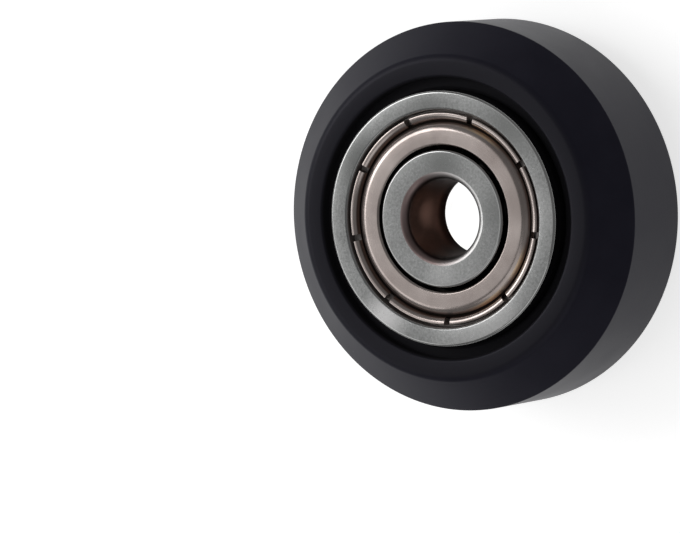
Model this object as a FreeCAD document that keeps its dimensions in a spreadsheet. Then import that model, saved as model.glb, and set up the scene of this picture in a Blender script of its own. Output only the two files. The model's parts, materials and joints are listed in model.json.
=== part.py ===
import FreeCAD, Part

import math
import os

import Sketcher

# V groove wheel on two shielded ball bearings, in millimetres.
# The origin is the wheel's centre, +Z runs along the axle towards the front bearing's open side.

SIZES = [
    ("wheel_dia", "24.4", "wheel, across the flat land"),
    ("bevel_width", "2.15", "each bevel, along the axle"),
    ("bevel_angle", "45", "each bevel, in degrees from the axle"),
    ("recess_gap", "0.8", "recess round each bearing, radially"),
    ("recess_depth", "0.8", "recess round each bearing, along the axle"),
    ("seat_lead", "0.2", "lead-in chamfer at each bearing seat"),
    ("seat_play", "0.01", "between a bearing and its seat, radially"),
    ("lip_thickness", "1", "lip between the bearings, and the shim"),
    ("lip_reach", "1", "lip inside the bearing seat, radially"),
    ("bearing_dia", "16", "bearing, outside"),
    ("bearing_bore", "5", "bearing, bore"),
    ("bearing_width", "5", "bearing, along the axle"),
    ("bearing_proud", "0.4", "each bearing beyond the wheel's face"),
    ("ring_face", "1.2", "outer ring's flat face and corner, radially"),
    ("ring_corner", "0.2", "outer ring's outside corner"),
    ("bore_corner", "0.5", "inner ring's open bore mouth"),
    ("seam_corner", "0.1", "inner ring's bore corner beside the shim"),
    ("shoulder_corner", "0.15", "inner ring's outside corner"),
    ("ball_dia", "2.381", "ball"),
    ("ball_count", "8", "balls in each bearing"),
    ("ball_play", "0.03", "between a ball and each race, radially"),
    ("race_conformity", "1.05", "race radius for each ball radius"),
    ("outer_race_depth", "0.37", "outer ring's race below its shoulder"),
    ("inner_race_depth", "0.27", "inner ring's race below its shoulder"),
    ("shield_seat_depth", "0.75", "shield's ledge below the ring's face"),
    ("shield_sheet", "0.2", "shield's sheet"),
    ("shield_play", "0.15", "between a shield and its ring, radially"),
    ("shield_gap", "0.28", "between a shield and the inner ring, radially"),
    ("shield_drop", "0.12", "shield below the ring's face"),
    ("shield_valley", "0.39", "shield's valley below its top"),
    ("shield_curl", "0.25", "shield's curled edge, radially"),
    ("shield_slope", "0.28", "slope inside the curled edge, radially"),
    ("shield_floor", "0.07", "valley's floor, radially"),
    ("shield_riser", "0.4", "riser up to the flat annulus, radially"),
    ("shield_bend", "0.1", "shield's turned-down inner edge"),
    ("notch_count", "9", "cuts in a shield's curled edge"),
    ("notch_width", "0.42", "each cut, along the edge"),
    ("notch_phase", "14", "first cut, in degrees from +X"),
    ("cage_width", "1", "cage ribbon, radially"),
    ("cage_sheet", "0.18", "cage ribbon's sheet"),
    ("cage_play", "0.07", "between a ball and its pocket"),
    ("tab_width", "0.4", "each tab that holds the cage halves, round the ring"),
    ("tab_sheet", "0.12", "tab's sheet, thinned where it is bent"),
    ("tab_fold", "0.35", "tab's bent end over the other half, radially"),
    ("tab_play", "0.02", "between a tab and the other half"),
    ("shim_play", "0.025", "between the axle's size and the shim's bore, radially"),
    ("shim_wall", "1.475", "shim, radially"),
]

# Sizes that follow from those in the sheet, as expressions.
BEARING_R = "(Sizes.bearing_dia / 2)"
BORE_R = "(Sizes.bearing_bore / 2)"
BEARING_HALF = "(Sizes.bearing_width / 2)"
PITCH_R = f"(({BEARING_R} + {BORE_R}) / 2)"
BALL_R = "(Sizes.ball_dia / 2)"
RACE_RADIUS = f"({BALL_R} * Sizes.race_conformity)"
OUTER_RACE_R = f"({PITCH_R} + {BALL_R} + Sizes.ball_play)"
INNER_RACE_R = f"({PITCH_R} - {BALL_R} - Sizes.ball_play)"
OUTER_SHOULDER_R = f"({OUTER_RACE_R} - Sizes.outer_race_depth)"
INNER_SHOULDER_R = f"({INNER_RACE_R} + Sizes.inner_race_depth)"
RING_MOUTH_R = f"({BEARING_R} - Sizes.ring_face)"
LEDGE = f"({BEARING_HALF} - Sizes.shield_seat_depth)"
LIP_HALF = "(Sizes.lip_thickness / 2)"
WHEEL_HALF = f"({LIP_HALF} + Sizes.bearing_width - Sizes.bearing_proud)"
BEARING_MIDDLE = f"({LIP_HALF} + {BEARING_HALF})"
CAGE_IN_R = f"({PITCH_R} - Sizes.cage_width / 2)"
CAGE_OUT_R = f"({PITCH_R} + Sizes.cage_width / 2)"
POCKET_R = f"({BALL_R} + Sizes.cage_play)"

TURNED_OVER = FreeCAD.Rotation(FreeCAD.Vector(1, 0, 0), 180)
UPRIGHT = FreeCAD.Rotation()


def make_sheet(doc):
    sheet = doc.addObject("Spreadsheet::Sheet", "Sizes")
    for row, (alias, value, meaning) in enumerate(SIZES, start=1):
        sheet.set(f"A{row}", meaning)
        sheet.set(f"B{row}", value)
        sheet.setAlias(f"B{row}", alias)
    doc.recompute()
    return sheet


def new_body(doc, label):
    body = doc.addObject("PartDesign::Body", label)
    body.Label = label
    return body


def new_sketch(body, name, role):
    """An empty sketch on one of the body's own origin planes."""
    sketch = body.newObject("Sketcher::SketchObject", name)
    plane = next(p for p in body.Origin.OriginFeatures if p.Role == role)
    sketch.AttachmentSupport = [(plane, "")]
    sketch.MapMode = "FlatFace"
    return sketch


def turn_sketch(sketch, axle, degrees):
    """Turns a sketch about the axle, which is given in the sketch's own directions."""
    start = FreeCAD.Rotation(axle, 1)
    sketch.AttachmentOffset = FreeCAD.Placement(FreeCAD.Vector(), start)
    sketch.setExpression("AttachmentOffset.Rotation.Angle", degrees)


def worked_out(thing, expression):
    """An expression's value now, as a number for a sketch's first drawing."""
    return float(thing.Document.Sizes.evalExpression(expression))


def bind(sketch, kind, *where, size):
    """One dimension of a sketch, tied to an expression."""
    value = worked_out(sketch, size)
    number = sketch.addConstraint(Sketcher.Constraint(kind, *where, value))
    sketch.setExpression(f"Constraints[{number}]", size)


def outline(sketch, corners):
    """A closed outline through corners, each an (across, up) pair of expressions."""
    points = [
        FreeCAD.Vector(worked_out(sketch, across), worked_out(sketch, up), 0)
        for across, up in corners
    ]
    first = sketch.GeometryCount
    count = len(corners)
    for i, start in enumerate(points):
        sketch.addGeometry(Part.LineSegment(start, points[(i + 1) % count]), False)
    for i in range(count):
        following = first + (i + 1) % count
        sketch.addConstraint(Sketcher.Constraint("Coincident", first + i, 2, following, 1))
    for i, (across, up) in enumerate(corners):
        bind(sketch, "DistanceX", -1, 1, first + i, 1, size=across)
        bind(sketch, "DistanceY", -1, 1, first + i, 1, size=up)


def circle(sketch, radius, across=None):
    """A circle centred on the sketch's origin, or on its horizontal axis at across."""
    centre = FreeCAD.Vector(worked_out(sketch, across) if across else 0, 0, 0)
    size = worked_out(sketch, radius)
    ring = sketch.addGeometry(Part.Circle(centre, FreeCAD.Vector(0, 0, 1), size), False)
    if across:
        sketch.addConstraint(Sketcher.Constraint("PointOnObject", ring, 3, -1))
        bind(sketch, "DistanceX", -1, 1, ring, 3, size=across)
    else:
        sketch.addConstraint(Sketcher.Constraint("Coincident", ring, 3, -1, 1))
    bind(sketch, "Radius", ring, size=radius)


def half_disc(sketch, radius):
    """A half disc on the sketch's horizontal axis, round side up."""
    size = worked_out(sketch, radius)
    whole = Part.Circle(FreeCAD.Vector(), FreeCAD.Vector(0, 0, 1), size)
    arc = sketch.addGeometry(Part.ArcOfCircle(whole, 0, math.pi), False)
    left, right = FreeCAD.Vector(-size, 0, 0), FreeCAD.Vector(size, 0, 0)
    base = sketch.addGeometry(Part.LineSegment(left, right), False)
    sketch.addConstraint(Sketcher.Constraint("Coincident", arc, 3, -1, 1))
    sketch.addConstraint(Sketcher.Constraint("Coincident", arc, 2, base, 1))
    sketch.addConstraint(Sketcher.Constraint("Coincident", arc, 1, base, 2))
    sketch.addConstraint(Sketcher.Constraint("PointOnObject", base, 1, -1))
    sketch.addConstraint(Sketcher.Constraint("PointOnObject", base, 2, -1))
    bind(sketch, "Radius", arc, size=radius)


def turn(body, corners):
    """A half section turned about the axle."""
    section = new_sketch(body, "HalfSection", "XZ_Plane")
    outline(section, corners)
    solid = body.newObject("PartDesign::Revolution", "Turned")
    solid.Profile = section
    solid.ReferenceAxis = (section, ["V_Axis"])
    solid.Angle = 360


def cut_race(body, centre):
    """The round race that the balls run in, cut by a circle swept about the axle."""
    section = new_sketch(body, "RaceSection", "XZ_Plane")
    circle(section, RACE_RADIUS, across=centre)
    race = body.newObject("PartDesign::Groove", "Race")
    race.Profile = section
    race.ReferenceAxis = (section, ["V_Axis"])
    race.Angle = 360


def repeat_round(body, features, count):
    """The features again at equal steps round the axle."""
    pattern = body.newObject("PartDesign::PolarPattern", "Round")
    pattern.Originals = features
    axle = next(a for a in body.Origin.OriginFeatures if a.Role == "Z_Axis")
    pattern.Axis = (axle, [""])
    pattern.Angle = 360
    pattern.setExpression("Occurrences", count)
    body.Tip = pattern


def place(piece, height, rotation=UPRIGHT):
    piece.Placement = FreeCAD.Placement(FreeCAD.Vector(), rotation)
    piece.setExpression("Placement.Base.z", height)


def make_wheel(doc):
    """The moulded wheel: a flat land between two bevels, and a stepped seat on each side of a lip."""
    body = new_body(doc, "vee_wheel")
    rim_r = "(Sizes.wheel_dia / 2)"
    land_half = f"({WHEEL_HALF} - Sizes.bevel_width)"
    face_r = f"({rim_r} - Sizes.bevel_width * tan(Sizes.bevel_angle))"
    seat_r = f"({BEARING_R} + Sizes.seat_play)"
    recess_r = f"({BEARING_R} + Sizes.recess_gap)"
    recess_floor = f"({WHEEL_HALF} - Sizes.recess_depth)"
    side = [
        (f"{BEARING_R} - Sizes.lip_reach", LIP_HALF),
        (seat_r, LIP_HALF),
        (seat_r, f"{recess_floor} - Sizes.seat_lead"),
        (f"{seat_r} + Sizes.seat_lead", recess_floor),
        (recess_r, recess_floor),
        (recess_r, WHEEL_HALF),
        (face_r, WHEEL_HALF),
        (rim_r, land_half),
    ]
    other_side = [(across, f"-({up})") for across, up in reversed(side)]
    turn(body, side + other_side)
    return body


def make_outer_ring(doc, label):
    """A bearing's outer ring, with a ledge at each mouth for the shield."""
    body = new_body(doc, label)
    side = [
        (OUTER_SHOULDER_R, LEDGE),
        (RING_MOUTH_R, LEDGE),
        (RING_MOUTH_R, BEARING_HALF),
        (f"{BEARING_R} - Sizes.ring_corner", BEARING_HALF),
        (BEARING_R, f"{BEARING_HALF} - Sizes.ring_corner"),
    ]
    other_side = [(across, f"-({up})") for across, up in reversed(side)]
    turn(body, side + other_side)
    cut_race(body, f"{OUTER_RACE_R} - {RACE_RADIUS}")
    return body


def make_inner_ring(doc, label):
    """A bearing's inner ring: a generous corner at its open mouth, a small one beside the shim."""
    body = new_body(doc, label)

    def end(corner):
        return [
            (BORE_R, f"{BEARING_HALF} - {corner}"),
            (f"{BORE_R} + {corner}", BEARING_HALF),
            (f"{INNER_SHOULDER_R} - Sizes.shoulder_corner", BEARING_HALF),
            (INNER_SHOULDER_R, f"{BEARING_HALF} - Sizes.shoulder_corner"),
        ]

    open_end = end("Sizes.bore_corner")
    shim_end = [(across, f"-({up})") for across, up in reversed(end("Sizes.seam_corner"))]
    turn(body, open_end + shim_end)
    cut_race(body, f"{INNER_RACE_R} + {RACE_RADIUS}")
    return body


def make_shield(doc, label):
    """A pressed shield: a curled edge on the ring's ledge, a valley and a flat annulus."""
    body = new_body(doc, label)
    sheet = "Sizes.shield_sheet"
    top = f"({BEARING_HALF} - Sizes.shield_drop)"
    valley = f"({top} - Sizes.shield_valley)"
    edge_r = f"({RING_MOUTH_R} - Sizes.shield_play)"
    curl_r = f"({edge_r} - Sizes.shield_curl)"
    slope_r = f"({curl_r} - Sizes.shield_slope)"
    floor_r = f"({slope_r} - Sizes.shield_floor)"
    crest_r = f"({floor_r} - Sizes.shield_riser)"
    inner_r = f"({INNER_SHOULDER_R} + Sizes.shield_gap)"
    outside = [
        (edge_r, LEDGE),
        (edge_r, top),
        (curl_r, top),
        (slope_r, valley),
        (floor_r, valley),
        (crest_r, top),
        (f"{inner_r} + Sizes.shield_bend", top),
        (inner_r, f"{top} - Sizes.shield_bend"),
    ]
    inside = [
        (inner_r, f"{top} - Sizes.shield_bend - {sheet}"),
        (f"{inner_r} + Sizes.shield_bend", f"{top} - {sheet}"),
        (f"{crest_r} - {sheet} / 2", f"{top} - {sheet}"),
        (f"{floor_r} - {sheet} / 2", f"{valley} - {sheet}"),
        (f"{slope_r} + {sheet} / 2", f"{valley} - {sheet}"),
        (f"{edge_r} - {sheet}", f"{top} - {sheet}"),
        (f"{edge_r} - {sheet}", LEDGE),
    ]
    turn(body, outside + inside)

    cut = new_sketch(body, "Cut", "XY_Plane")
    turn_sketch(cut, FreeCAD.Vector(0, 0, 1), "Sizes.notch_phase")
    side = "(Sizes.notch_width / 2)"
    other_side = f"-{side}"
    near = f"{slope_r} + {sheet} / 4"
    outline(cut, [(near, other_side), (BEARING_R, other_side), (BEARING_R, side), (near, side)])
    notch = body.newObject("PartDesign::Pocket", "Notch")
    notch.Profile = cut
    notch.Midplane = True
    notch.setExpression("Length", "Sizes.bearing_width * 2")
    repeat_round(body, [notch], "Sizes.notch_count")
    return body


def make_cage_half(doc, label, with_tabs=False):
    """Half of a pressed ribbon cage: a flat ring raised into a round pocket over each ball."""
    body = new_body(doc, label)
    blank = new_sketch(body, "Blank", "XY_Plane")
    circle(blank, CAGE_IN_R)
    circle(blank, CAGE_OUT_R)
    ribbon = body.newObject("PartDesign::Pad", "Ribbon")
    ribbon.Profile = blank
    ribbon.setExpression("Length", "Sizes.cage_sheet")

    raised = new_sketch(body, "Raised", "YZ_Plane")
    raised.setExpression("AttachmentOffset.Base.z", CAGE_IN_R)
    half_disc(raised, f"{POCKET_R} + Sizes.cage_sheet")
    bump = body.newObject("PartDesign::Pad", "Bump")
    bump.Profile = raised
    bump.setExpression("Length", "Sizes.cage_width")

    hollow = new_sketch(body, "Hollow", "YZ_Plane")
    circle(hollow, POCKET_R)
    pocket = body.newObject("PartDesign::Pocket", "BallPocket")
    pocket.Profile = hollow
    pocket.Reversed = True
    pocket.setExpression("Length", BEARING_R)
    repeated = [bump, pocket]

    if with_tabs:
        repeated.append(make_tab(body))
    repeat_round(body, repeated, "Sizes.ball_count")
    return body


def make_tab(body):
    """A tab midway between two balls, bent round the other half's edge and over its back."""
    section = new_sketch(body, "TabSection", "XZ_Plane")
    turn_sketch(section, FreeCAD.Vector(0, 1, 0), "180 / Sizes.ball_count")
    near = f"({CAGE_OUT_R} + Sizes.tab_play)"
    far = f"({near} + Sizes.tab_sheet)"
    root_r = f"{CAGE_OUT_R} - Sizes.cage_sheet"
    fold_r = f"{CAGE_OUT_R} - Sizes.tab_fold"
    back = "(0 - Sizes.cage_sheet - Sizes.tab_play)"
    outline(
        section,
        [
            (root_r, "Sizes.cage_sheet"),
            (far, "Sizes.cage_sheet"),
            (far, f"{back} - Sizes.tab_sheet"),
            (fold_r, f"{back} - Sizes.tab_sheet"),
            (fold_r, back),
            (near, back),
            (near, "0 * Sizes.cage_sheet"),
            (root_r, "0 * Sizes.cage_sheet"),
        ],
    )
    tab = body.newObject("PartDesign::Pad", "Tab")
    tab.Profile = section
    tab.Midplane = True
    tab.setExpression("Length", "Sizes.tab_width")
    return tab


def make_ball(doc, label, number, middle):
    """One ball on the pitch circle, numbered from +X."""
    ball = doc.addObject("Part::Sphere", label)
    ball.Label = label
    ball.setExpression("Radius", BALL_R)
    step = f"360 / Sizes.ball_count * {number}"
    ball.setExpression("Placement.Base.x", f"{PITCH_R} * cos({step})")
    ball.setExpression("Placement.Base.y", f"{PITCH_R} * sin({step})")
    ball.setExpression("Placement.Base.z", middle)
    return ball


def make_shim(doc, label):
    """The flat spacer between the inner rings."""
    body = new_body(doc, label)
    ring = new_sketch(body, "Ring", "XY_Plane")
    bore_r = f"({BORE_R} + Sizes.shim_play)"
    circle(ring, bore_r)
    circle(ring, f"{bore_r} + Sizes.shim_wall")
    washer = body.newObject("PartDesign::Pad", "Washer")
    washer.Profile = ring
    washer.Midplane = True
    washer.setExpression("Length", "Sizes.lip_thickness")
    return body


def make_bearing(doc, name, side):
    """A whole bearing on one side of the lip: side is 1 at the front and -1 at the back."""
    middle = f"{side} * {BEARING_MIDDLE}"
    facing_out = UPRIGHT if side > 0 else TURNED_OVER
    facing_in = TURNED_OVER if side > 0 else UPRIGHT
    outer_ring = make_outer_ring(doc, f"{name}_outer_ring")
    inner_ring = make_inner_ring(doc, f"{name}_inner_ring")
    outer_shield = make_shield(doc, f"{name}_outer_shield")
    inner_shield = make_shield(doc, f"{name}_inner_shield")
    outer_cage = make_cage_half(doc, f"{name}_cage_outer_half")
    inner_cage = make_cage_half(doc, f"{name}_cage_inner_half", with_tabs=True)
    for piece in (outer_ring, inner_ring, outer_shield, outer_cage):
        place(piece, middle, facing_out)
    for piece in (inner_shield, inner_cage):
        place(piece, middle, facing_in)
    balls = [
        make_ball(doc, f"{name}_ball_{number + 1}", number, middle)
        for number in range(int(doc.Sizes.ball_count))
    ]
    return [outer_ring, inner_ring, outer_shield, inner_shield, outer_cage, inner_cage, *balls]


def check(doc, pieces):
    """Stops on anything that failed, cut nothing or isn't one sound solid."""
    for thing in doc.Objects:
        if "Invalid" in thing.State or "Error" in thing.State:
            raise ValueError(f"{thing.Label} failed: {thing.State}")
        cuts = thing.TypeId in ("PartDesign::Pocket", "PartDesign::Groove")
        if cuts and thing.Shape.Volume >= thing.BaseFeature.Shape.Volume:
            raise ValueError(f"{thing.Label} cuts nothing")
    for piece in pieces:
        shape = piece.Shape
        if shape.isNull() or not shape.isValid() or len(shape.Solids) != 1:
            raise ValueError(f"{piece.Label} isn't one sound solid")


def main():
    doc = FreeCAD.newDocument("VeeWheel")
    make_sheet(doc)
    pieces = [make_wheel(doc)]
    pieces += make_bearing(doc, "front", 1)
    pieces += make_bearing(doc, "back", -1)
    pieces.append(make_shim(doc, "spacer_shim"))
    doc.recompute()
    check(doc, pieces)
    os.makedirs("parts", exist_ok=True)
    for piece in pieces:
        piece.Shape.exportStep(f"parts/{piece.Label}.step")
        print(f"{piece.Label}: {piece.Shape.Volume:.2f} mm3, {len(piece.Shape.Faces)} faces")


main()
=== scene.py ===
import json
import math

import bmesh
import bpy
from bpy.props import FloatProperty, FloatVectorProperty, IntProperty, PointerProperty
from mathutils import Matrix, Vector


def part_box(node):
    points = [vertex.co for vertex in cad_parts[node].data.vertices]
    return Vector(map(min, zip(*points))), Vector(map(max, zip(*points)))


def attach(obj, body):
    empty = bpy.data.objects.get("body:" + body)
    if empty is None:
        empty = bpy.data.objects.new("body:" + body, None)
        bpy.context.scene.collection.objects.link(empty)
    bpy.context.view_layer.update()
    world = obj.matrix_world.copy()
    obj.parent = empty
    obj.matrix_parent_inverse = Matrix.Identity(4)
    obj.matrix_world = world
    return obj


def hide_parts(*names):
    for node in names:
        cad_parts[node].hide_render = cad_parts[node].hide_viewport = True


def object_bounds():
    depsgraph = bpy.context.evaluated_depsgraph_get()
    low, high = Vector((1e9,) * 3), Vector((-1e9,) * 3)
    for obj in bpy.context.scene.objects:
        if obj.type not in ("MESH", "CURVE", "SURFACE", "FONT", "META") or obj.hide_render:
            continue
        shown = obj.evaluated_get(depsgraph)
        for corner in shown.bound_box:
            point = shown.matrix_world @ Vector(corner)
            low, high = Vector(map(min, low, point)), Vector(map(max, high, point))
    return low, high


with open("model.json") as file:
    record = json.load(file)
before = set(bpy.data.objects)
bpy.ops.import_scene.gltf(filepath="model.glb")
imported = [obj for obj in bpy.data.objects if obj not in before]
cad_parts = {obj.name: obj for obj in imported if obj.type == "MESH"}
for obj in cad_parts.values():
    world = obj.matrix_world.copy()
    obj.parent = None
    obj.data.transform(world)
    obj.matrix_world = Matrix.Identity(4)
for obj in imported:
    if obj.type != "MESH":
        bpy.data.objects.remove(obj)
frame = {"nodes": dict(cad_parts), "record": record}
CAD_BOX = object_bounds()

# V groove wheel on two shielded ball bearings, dressed over its CAD frame, in metres.
# The origin is the wheel's centre, +Z runs along the axle towards the front bearing's open side.

bl_info = {
    "name": "V Groove Wheel",
    "version": (1, 0, 0),
    "blender": (4, 5, 0),
    "location": "3D Viewport > Sidebar > V Wheel",
    "description": "Models and finishes a V groove wheel on two shielded ball bearings",
    "category": "Mesh",
}

MM = 0.001
MICRON = 0.000001
AXLE = Vector((0, 0, 1))
WHITE = (1.0, 1.0, 1.0)
SIDES = (("front", 1), ("back", -1))

# Main sizes, read from the frame.
WHEEL_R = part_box("vee_wheel")[1].x
WHEEL_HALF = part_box("vee_wheel")[1].z
BEARING_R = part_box("front_outer_ring")[1].x
BEARING_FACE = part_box("front_outer_ring")[1].z
LIP_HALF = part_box("front_outer_ring")[0].z
BEARING_MIDDLE = (BEARING_FACE + LIP_HALF) / 2
BEARING_HALF = (BEARING_FACE - LIP_HALF) / 2
BORE_R = next(m for m in frame["record"]["mounts"] if m["name"] == "bore")["dims"]["r_mm"] * MM
INNER_SHOULDER_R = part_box("front_inner_ring")[1].x
SHIELD_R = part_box("front_outer_shield")[1].x
SHIELD_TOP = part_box("front_outer_shield")[1].z - BEARING_MIDDLE
SHIELD_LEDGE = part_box("front_outer_shield")[0].z - BEARING_MIDDLE
SHIM_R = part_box("spacer_shim")[1].x
BALL_R = (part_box("front_ball_1")[1].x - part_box("front_ball_1")[0].x) / 2
PITCH_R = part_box("front_ball_1")[1].x - BALL_R

# Painted highlight and painted shade patches of the rings' faces, which stand in for their uneven
# reflections: clock hour, distance from the axle and size in millimetres, and strength.
PAINTED_HIGHLIGHT_PATCHES = (
    (7.4, 7.4, 2.1, 0.6), (5.4, 7.4, 5.0, 0.25), (3.0, 7.4, 2.5, 0.1), (6.3, 3.6, 1.6, 0.2),
)
PAINTED_SHADE_PATCHES = (
    (10.3, 7.4, 3.4, 0.9), (12.0, 7.4, 2.6, 0.6), (1.6, 7.4, 3.0, 0.75),
    (12.3, 3.6, 2.6, 0.9), (3.0, 3.6, 2.0, 0.6),
)

# Dull patches of the shields' flat annulus, in the same way.
DULL_PATCHES = ((2.9, 5.1, 2.2, 0.8), (1.8, 5.1, 2.0, 0.3), (7.3, 4.9, 1.4, 0.5))

# Painted golden reflections on the shields' risers: clock hour and size in millimetres.
PAINTED_REFLECTION_STREAKS = ((5.2, 2.0), (4.2, 1.6), (1.2, 2.0))

# Clock hours at which the front bore's mouth is filmed, and at which the film in the bore is thinnest.
FILMED_MOUTH_HOUR = 9
THIN_FILM_HOUR = 9.4

# Soft lamps: the directions of both ends of each from the wheel's centre.
LAMPS = {
    "top": ((-0.35, 0.55, 0.83), (0.65, 0.55, 0.83)),
    "key": ((0.14, 0.84, 0.52), (0.52, 0.39, 0.77)),
    "side": ((-0.5, 0.55, 0.68), (-0.02, 0.87, 0.5)),
    "low": ((-0.42, -0.38, 0.82), (-0.8, 0.12, 0.58)),
}

# The picture: its size, the pixel of the wheel's centre, and the scale at that distance.
PICTURE_WIDTH, PICTURE_HEIGHT = 680, 533
WHEEL_PIXEL = (483.82, 213.55)
PIXELS_PER_METRE = 15863.0


# Property building

def length(name, description, millimetres):
    """A property that holds a length, given in millimetres and kept in metres."""
    return FloatProperty(
        name=name, description=description, default=millimetres * MM,
        min=0.0, unit="LENGTH", subtype="DISTANCE", precision=5,
    )


def degrees(name, description, angle):
    """A property that holds an angle, given in degrees and kept in radians."""
    return FloatProperty(
        name=name, description=description, default=math.radians(angle), unit="ROTATION", subtype="ANGLE",
    )


def colour(name, description, red, green, blue):
    """A property that holds a linear colour."""
    return FloatVectorProperty(
        name=name, description=description, default=(red, green, blue), min=0.0, max=1.0, subtype="COLOR",
    )


def fraction(name, description, default):
    """A property that holds a value from 0 to 1."""
    return FloatProperty(
        name=name, description=description, default=default, min=0.0, max=1.0, subtype="FACTOR",
    )


def strength(name, description, default):
    """A property that holds a light's strength."""
    return FloatProperty(name=name, description=description, default=default, min=0.0)


class VEEWHEEL_PG_wheel(bpy.types.PropertyGroup):
    """Sizes and finish of the black wheel."""

    bevel_width: length("Bevel Width", "Each bevel, along the axle", 2.15)
    recess_gap: length("Recess Gap", "Recess round each bearing, radially", 0.8)
    recess_depth: length("Recess Depth", "Recess round each bearing, along the axle", 0.8)
    seat_lead: length("Seat Lead", "Lead-in chamfer at each bearing seat", 0.2)
    seat_play: length("Seat Play", "Between a bearing and its seat, radially", 0.01)
    lip_reach: length("Lip Reach", "Lip inside the bearing seat, radially", 1.0)
    rim_rounding: length("Rim Rounding", "Edge between the land and each bevel", 0.1)
    face_rounding: length("Face Rounding", "Edge between each bevel and its face", 0.7)
    recess_rounding: length("Recess Rounding", "Mouth of the recess", 0.2)
    colour: colour("Colour", "Black acetal", 0.0086, 0.0083, 0.015)
    worn_colour: colour("Rubbed Colour", "Paler, rubbed acetal", 0.0142, 0.0136, 0.022)
    # Painted shade: the flat faces take a darker colour than the bevels.
    face_shade_colour: colour("Face Colour", "Dimmer acetal of the flat faces", 0.0045, 0.0043, 0.0068)
    # Painted shade: round the bearings the acetal is darker as well as matt.
    recess_shade_colour: colour("Recess Colour", "Matt acetal round the bearings", 0.0085, 0.0083, 0.0095)
    speck_colour: colour("Speck Colour", "Dust and fibre specks", 0.07, 0.07, 0.08)
    sheen_colour: colour("Sheen Colour", "Tint of the acetal's reflections", 0.88, 0.86, 1.0)
    roughness: fraction("Roughness", "Sheen of the acetal", 0.42)
    recess_roughness: fraction("Recess Roughness", "Sheen round the bearings", 0.9)
    specular: fraction("Specular", "Strength of the acetal's reflections", 0.158)


class VEEWHEEL_PG_bearing(bpy.types.PropertyGroup):
    """Sizes and finish of the bearings' rings, cages and balls, and of the spacer."""

    ring_face: length("Ring Face", "Outer ring's face and corner, radially", 1.2)
    ring_corner: length("Ring Corner", "Outer ring's outside corner", 0.2)
    mouth_corner: length("Mouth Corner", "Outer ring's edge beside the shield", 0.18)
    bore_corner: length("Bore Corner", "Inner ring's open bore mouth", 0.48)
    seam_corner: length("Seam Corner", "Inner ring's bore corner beside the shim", 0.002)
    shoulder_corner: length("Shoulder Corner", "Inner ring's outside corner", 0.15)
    ball_play: length("Ball Play", "Between a ball and each race, radially", 0.03)
    outer_race_depth: length("Outer Race Depth", "Race below the outer ring's shoulder", 0.37)
    shim_corner: length("Shim Corner", "Edges of the spacer shim", 0.002)
    polished_edge: length("Polished Edge", "Smooth tumbled band at each corner", 0.2)
    film_depth: length("Film Depth", "Black film at the far end of the front bore", 1.3)
    race_conformity: FloatProperty(
        name="Race Conformity", description="Race radius for each ball radius", default=1.05, min=1.0,
    )
    steel_colour: colour("Steel Colour", "Ground bearing steel", 0.31, 0.313, 0.31)
    dark_steel_colour: colour("Dark Steel Colour", "Darker grinding marks", 0.19, 0.193, 0.19)
    edge_colour: colour("Edge Colour", "Tumbled corners", 0.33, 0.33, 0.327)
    # Painted highlight and painted shade: brighter and darker patches standing in for the faces' uneven
    # reflections.
    painted_highlight_colour: colour("Light Patch Colour", "Brighter patches of the faces", 0.62, 0.61, 0.61)
    painted_shade_colour: colour("Dark Patch Colour", "Shaded patches of the faces", 0.13, 0.133, 0.13)
    grease_colour: colour("Grease Colour", "Old grease inside the bearing", 0.26, 0.24, 0.23)
    film_colour: colour("Film Colour", "Dried oil film in the front bore", 0.02, 0.0145, 0.013)
    film_end_colour: colour("Film End Colour", "Thick film at the bore's far end", 0.014, 0.01, 0.009)
    copper_colour: colour("Copper Colour", "Warm patches in the film", 0.055, 0.032, 0.026)
    patch_colour: colour("Patch Colour", "Thinnest film, in the middle of the bore", 0.12, 0.07, 0.056)
    mouth_colour: colour("Mouth Colour", "Clean side of the bore's mouth", 0.5, 0.5, 0.495)
    mauve_colour: colour("Mauve Colour", "Thinner film on the bore's mouth", 0.24, 0.185, 0.18)
    dark_mauve_colour: colour("Dark Mauve Colour", "Thicker film on the bore's mouth", 0.12, 0.085, 0.08)
    polish_colour: colour("Polish Colour", "Bright bore of the back bearing", 0.97, 0.97, 0.965)
    # Painted shade: cages and balls are darkened well beyond their grease, so the gap into the bearing
    # looks black.
    cage_grease_and_shade_colour: colour("Cage Colour", "Greased ribbon", 0.06, 0.055, 0.05)
    ball_grease_and_shade_colour: colour("Ball Colour", "Greased balls", 0.1, 0.095, 0.09)
    shim_colour: colour("Shim Colour", "Rolled strip of the spacer", 0.97, 0.97, 0.965)
    film_edge: fraction("Film Edge", "Reflection of the film at grazing angles", 0.42)
    ground_roughness: fraction("Ground Roughness", "Sheen of the ground faces", 0.34)
    smooth_roughness: fraction("Smooth Roughness", "Sheen of their smoothest grains", 0.26)
    edge_roughness: fraction("Edge Roughness", "Sheen of the tumbled corners", 0.12)
    grease_roughness: fraction("Grease Roughness", "Sheen of the old grease", 0.6)
    mouth_roughness: fraction("Mouth Roughness", "Sheen of the front bore's mouth", 0.4)
    polish_roughness: fraction("Polish Roughness", "Sheen of the bright bore", 0.08)
    cage_roughness: fraction("Cage Roughness", "Sheen of the cages", 0.5)
    ball_roughness: fraction("Ball Roughness", "Sheen of the balls", 0.35)
    shim_roughness: fraction("Shim Roughness", "Sheen of the spacer", 0.08)


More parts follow.
